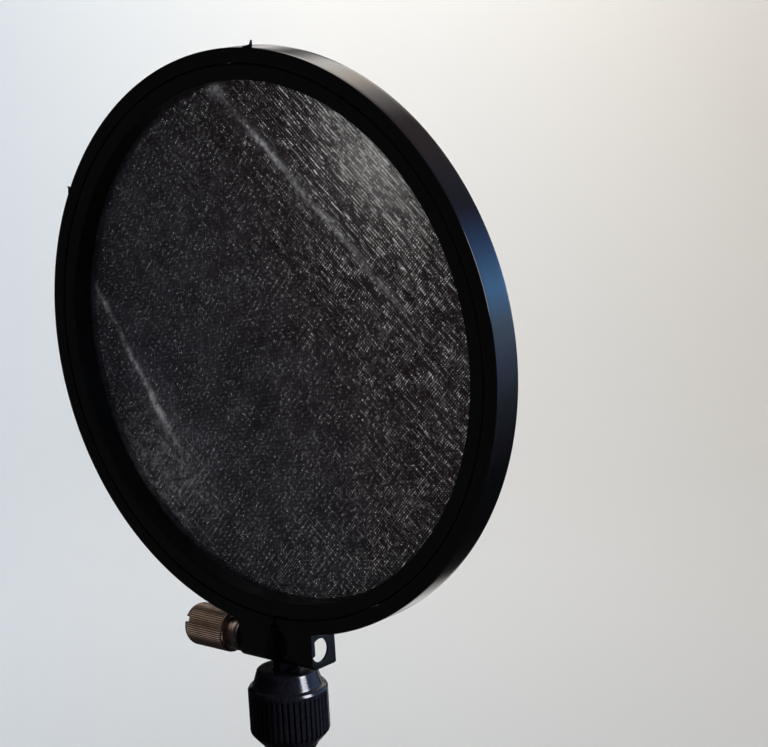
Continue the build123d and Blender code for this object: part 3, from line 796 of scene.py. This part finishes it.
# pale sweep: floor that curves up behind the object, seen from the camera's side
az = math.radians(40.1)
away = Vector((-math.sin(az), math.cos(az), 0))
side = Vector((math.cos(az), math.sin(az), 0))
floor_z = min(cad_low.z, 0) - 0.0006
curve = [(-1.1, 0.0), (-0.4, 0.0), (0.4, 0.0), (1.2, 0.0)]
for k in range(1, 15):
    a = math.pi / 2 * k / 14
    curve.append((1.2 + 0.9 * math.sin(a), 0.9 - 0.9 * math.cos(a)))
curve += [(2.1, 1.6), (2.1, 3.2)]
verts, faces = [], []
cols = 9
for (d, h) in curve:
    for c in range(cols):
        q = -2.6 + 5.2 * c / (cols - 1)
        v = away * d + side * q
        verts.append((v.x, v.y, floor_z + h))
for j in range(len(curve) - 1):
    for c in range(cols - 1):
        faces.append((j * cols + c, j * cols + c + 1, (j + 1) * cols + c + 1, (j + 1) * cols + c))
me = bpy.data.meshes.new("sweep")
me.from_pydata(verts, [], faces)
me.polygons.foreach_set("use_smooth", [True] * len(me.polygons))
sweep = bpy.data.objects.new("sweep", me)
scene.collection.objects.link(sweep)
t = Tree("pale sweep")
x, y, z = t.split(t.place())
across = t.range(t.math("ADD", t.math("MULTIPLY", x, side.x / 1000), t.math("MULTIPLY", y, side.y / 1000)), -0.55, 0.35, 0, 1)
# painted light: the backdrop is painted bluish towards the left and darker and warmer towards the right, for the cool
# and warm light that falls on it
painted_light_tone = t.ramp(across, [(0.0, (0.80, 0.85, 0.90)), (0.5, (0.80, 0.79, 0.775)), (1.0, (0.71, 0.675, 0.63))])
t.out("Base Color", t.mix(t.math("MULTIPLY", t.noise(t.place(), 0.004, 2), 0.06), painted_light_tone, (0.5, 0.5, 0.5)))
t.out("Roughness", 0.9)
t.out("Specular IOR Level", 0.1)
# clear when looked at from underneath, so that low views aren't blocked
under = t.math("MULTIPLY", t.node("ShaderNodeNewGeometry").outputs["Backfacing"], t.node("ShaderNodeLightPath").outputs["Is Camera Ray"])
t.out("Alpha", t.math("SUBTRACT", 1.0, under))
me.materials.append(t.mat)
sweep.visible_glossy = False


def area(name, where, at, size, power, colour=(1, 1, 1), size_y=None, reflects=True):
    l = bpy.data.lights.new(name, "AREA")
    l.energy, l.color, l.shape = power, colour, "RECTANGLE"
    l.size, l.size_y = size, size_y or size
    o = bpy.data.objects.new(name, l)
    scene.collection.objects.link(o)
    d = Vector(where) - Vector(at)
    o.location = where
    o.rotation_mode = "QUATERNION"
    o.rotation_quaternion = d.to_track_quat("Z", "Y")
    o.visible_glossy = reflects
    o.visible_camera = False
    return o


head = Vector(ringc) * MM
# window-like soft light from the right, a wide one for the sweep, weak fills
area("window right", head + Vector((1.5, 0.36, 0.55)), head, 0.62, 12, (0.86, 0.91, 1.0), 0.75)
area("top back", head + Vector((-0.22, 1.15, 1.0)), head, 0.7, 3.0, (1.0, 0.985, 0.96), 0.45, False)
area("sweep light", head + away * 1.62 + side * 0.12 + Vector((0, 0, 0.72)), head + away * 2.3 + side * 0.12 + Vector((0, 0, 0.07)), 0.65, 6.1, (1.0, 0.97, 0.92), 0.45, False)
area("sweep left", head + away * 0.5 - side * 1.0 + Vector((0, 0, 0.35)), head + away * 1.5 - side * 0.45 + Vector((0, 0, -0.38)), 0.5, 2.4, (0.55, 0.77, 1.0), 0.5, False)
area("floor light", head + away * 0.85 + side * 0.02 + Vector((0, 0, 0.30)), head + away * 0.80 + side * 0.02 + Vector((0, 0, -0.4)), 0.35, 1.1, (1.0, 0.97, 0.93), 0.35, False)
area("left fill", head + Vector((-1.2, -0.2, 0.5)), head + Vector((0, 0, -0.1)), 0.5, 1.9, (0.80, 0.88, 1.0), 0.9, False)

glint = area("screw fill", head + Vector((-0.70, -0.30, 0.62)), head + Vector((-0.02, 0, -0.08)), 0.8, 1.5, (1.0, 0.95, 0.90), 0.8)
only = bpy.data.collections.new("screw only")
for ob in bpy.data.objects:
    if ob.name.startswith("thumb_screw") or ob.name == "screw_washer":
        only.objects.link(ob)
glint.light_linking.receiver_collection = only
pane = area("collar window", head + Vector((1.5, 0.32, 0.62)), head + Vector((0, 0, -0.09)), 0.62, 145, (0.83, 0.87, 1.0), 0.9)
ring_only = bpy.data.collections.new("collar only")
ring_only.objects.link(bpy.data.objects["ribbed_lock_collar"])
pane.light_linking.receiver_collection = ring_only

# Room around the object: camera rays see it pale; reflections see a dark room behind the
# camera and, round the far side, a bright window, a bright ceiling and dark gaps between.
world = bpy.data.worlds.new("studio")
scene.world = world
world.use_nodes = True


class Sky(Tree):
    def __init__(self, tree):
        self.t = tree


w = Sky(world.node_tree)
bg = w.t.nodes["Background"]
path = w.node("ShaderNodeLightPath")
x, y, z = w.split(w.node("ShaderNodeTexCoord").outputs["Generated"])
turn_at = w.math("ADD", w.math("DIVIDE", w.math("ARCTAN2", z, x), 2 * math.pi), 0.5)
steps = [(-180, 0.05, 0.05, 0.05), (-163, 0.02, 0.02, 0.02), (-150, 0.10, 0.10, 0.10), (-135, 1.05, 1.04, 1.03), (-120, 0.48, 0.45, 0.43), (-115, 0.02, 0.02, 0.02),
         (-91, 0.006, 0.006, 0.006), (-61, 0.010, 0.013, 0.018), (-46, 0.06, 0.06, 0.095), (-31, 0.125, 0.175, 0.215), (-15, 0.38, 0.48, 0.84), (0, 0.70, 1.0, 1.48),
         (14, 0.74, 1.82, 3.6), (20, 0.62, 1.4, 2.9), (32, 0.30, 0.62, 1.4), (47, 0.15, 0.14, 0.25), (63, 0.19, 0.19, 0.25), (78, 0.27, 0.20, 0.22),
         (93, 0.22, 0.17, 0.19), (109, 1.05, 0.98, 0.92), (121, 2.15, 1.92, 1.7), (137, 2.25, 2.15, 2.02), (144, 0.8, 0.77, 0.74), (154, 0.05, 0.05, 0.05), (167, 1.25, 1.2, 1.18), (180, 0.05, 0.05, 0.05)]
far_side = w.ramp(turn_at, [((q + 180) / 360, (r / 4.2, g / 4.2, b / 4.2)) for q, r, g, b in steps])
near_side = (0.006, 0.006, 0.0065)
glossy = w.mix(w.range(y, 0.42, 0.66, 0, 1), near_side, far_side)
plain = w.mix(path.outputs["Is Camera Ray"], (0.064, 0.065, 0.066), (0.20, 0.202, 0.204))
w.set(bg.inputs["Color"], w.mix(path.outputs["Is Glossy Ray"], plain, glossy))
bg.inputs["Strength"].default_value = 4.2
scene.view_settings.view_transform = "Standard"
scene.view_settings.look = "None"
scene.view_settings.exposure = 0.0
